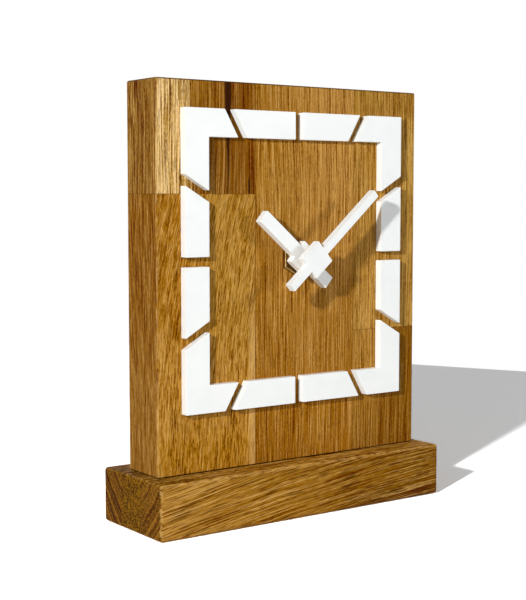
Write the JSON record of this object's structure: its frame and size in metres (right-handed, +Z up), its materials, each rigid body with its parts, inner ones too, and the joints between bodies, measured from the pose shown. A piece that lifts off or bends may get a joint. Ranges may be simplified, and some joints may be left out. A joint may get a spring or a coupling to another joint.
{
  "type": "desk clock",
  "caption": "Wooden desk clock: an upright oak panel on an oak base, with a square ring of white dial pieces, two white hands and a battery quartz movement let into the back.",
  "frame": {"origin": "centre of the base's underside", "axes": "+X to the right as seen from the front, +Y away from the viewer (the dial faces -Y), +Z up"},
  "size_m": [0.13, 0.0441, 0.16],
  "materials": {
    "base_oak": "oiled oak",
    "panel_oak": "oiled oak",
    "white_plastic": "satin",
    "zinc_screw": "zinc plated",
    "brass": "turned",
    "black_rubber": "matte",
    "black_plastic": "fine moulded grain",
    "white_wheel": "moulded",
    "red_wheel": "moulded",
    "motor_steel": "rolled",
    "copper": "enamelled wire",
    "board_green": "lacquered",
    "black_resin": "cured resin",
    "contact_steel": "nickel plated",
    "battery_jacket": "printed film"
  },
  "bodies": {
    "clock": {"base_block": "base_oak", "clock_panel": "panel_oak", "dial_12_to_1": "white_plastic", "dial_1_to_2": "white_plastic", "dial_2_to_3": "white_plastic", "dial_3_to_4": "white_plastic", "dial_4_to_5": "white_plastic", "dial_5_to_6": "white_plastic", "dial_6_to_7": "white_plastic", "dial_7_to_8": "white_plastic", "dial_8_to_9": "white_plastic", "dial_9_to_10": "white_plastic", "dial_10_to_11": "white_plastic", "dial_11_to_12": "white_plastic", "base_screws": "zinc_screw", "hex_nut": "brass", "threaded_bush": "brass", "rubber_washer": "black_rubber", "movement_case": "black_plastic", "movement_cover": "black_plastic", "gear_bridge": "white_wheel", "coil_bobbin": "white_wheel", "stator": "motor_steel", "coil_core": "motor_steel", "quartz_crystal": "motor_steel", "coil_winding": "copper", "circuit_board": "board_green", "chip_blob": "black_resin", "positive_contact": "contact_steel", "negative_contact": "contact_steel"},
    "hour_hand": {"hour_hand": "white_plastic", "hour_wheel": "red_wheel"},
    "minute_hand": {"minute_hand": "white_plastic", "minute_arbor": "brass"},
    "setting": {"minute_wheel": "red_wheel", "set_knob": "black_plastic"},
    "centre_wheel": {"centre_wheel": "white_wheel"},
    "third_wheel": {"third_wheel": "white_wheel"},
    "seconds_wheel": {"seconds_wheel": "white_wheel"},
    "intermediate_wheel": {"intermediate_wheel": "white_wheel"},
    "rotor": {"rotor_pinion": "white_wheel", "rotor_magnet": "motor_steel"},
    "battery": {"battery": "battery_jacket"}
  },
  "joints": [
    {"name": "hour_turn", "type": "hinge", "parent": "clock", "child": "hour_hand", "pos_m": [0, 0, 0.096], "axis": [0, 1, 0], "continuous": true},
    {"name": "minute_turn", "type": "hinge", "parent": "clock", "child": "minute_hand", "pos_m": [0, 0, 0.096], "axis": [0, 1, 0], "continuous": true},
    {"name": "setting_turn", "type": "hinge", "parent": "clock", "child": "setting", "pos_m": [0.0095, 0, 0.096], "axis": [0, 1, 0], "continuous": true},
    {"name": "centre_turn", "type": "hinge", "parent": "clock", "child": "centre_wheel", "pos_m": [0, 0, 0.096], "axis": [0, 1, 0], "continuous": true},
    {"name": "third_turn", "type": "hinge", "parent": "clock", "child": "third_wheel", "pos_m": [-0.009, 0, 0.096], "axis": [0, 1, 0], "continuous": true},
    {"name": "seconds_turn", "type": "hinge", "parent": "clock", "child": "seconds_wheel", "pos_m": [0, 0, 0.096], "axis": [0, 1, 0], "continuous": true},
    {"name": "intermediate_turn", "type": "hinge", "parent": "clock", "child": "intermediate_wheel", "pos_m": [0, 0, 0.1056], "axis": [0, 1, 0], "continuous": true},
    {"name": "rotor_turn", "type": "hinge", "parent": "clock", "child": "rotor", "pos_m": [0.0035, 0, 0.11166], "axis": [0, 1, 0], "continuous": true},
    {"name": "battery_out", "type": "slide", "parent": "clock", "child": "battery", "axis": [0, 1, 0], "range_m": [0, 0.03]}
  ],
  "couplings": [
    {"joint": "hour_turn", "follows": "minute_turn", "ratio": 0.083333},
    {"joint": "setting_turn", "follows": "minute_turn", "ratio": -0.33333},
    {"joint": "third_turn", "follows": "seconds_turn", "ratio": -0.13333},
    {"joint": "centre_turn", "follows": "seconds_turn", "ratio": 0.016667},
    {"joint": "intermediate_turn", "follows": "seconds_turn", "ratio": -5},
    {"joint": "rotor_turn", "follows": "seconds_turn", "ratio": 30}
  ]
}
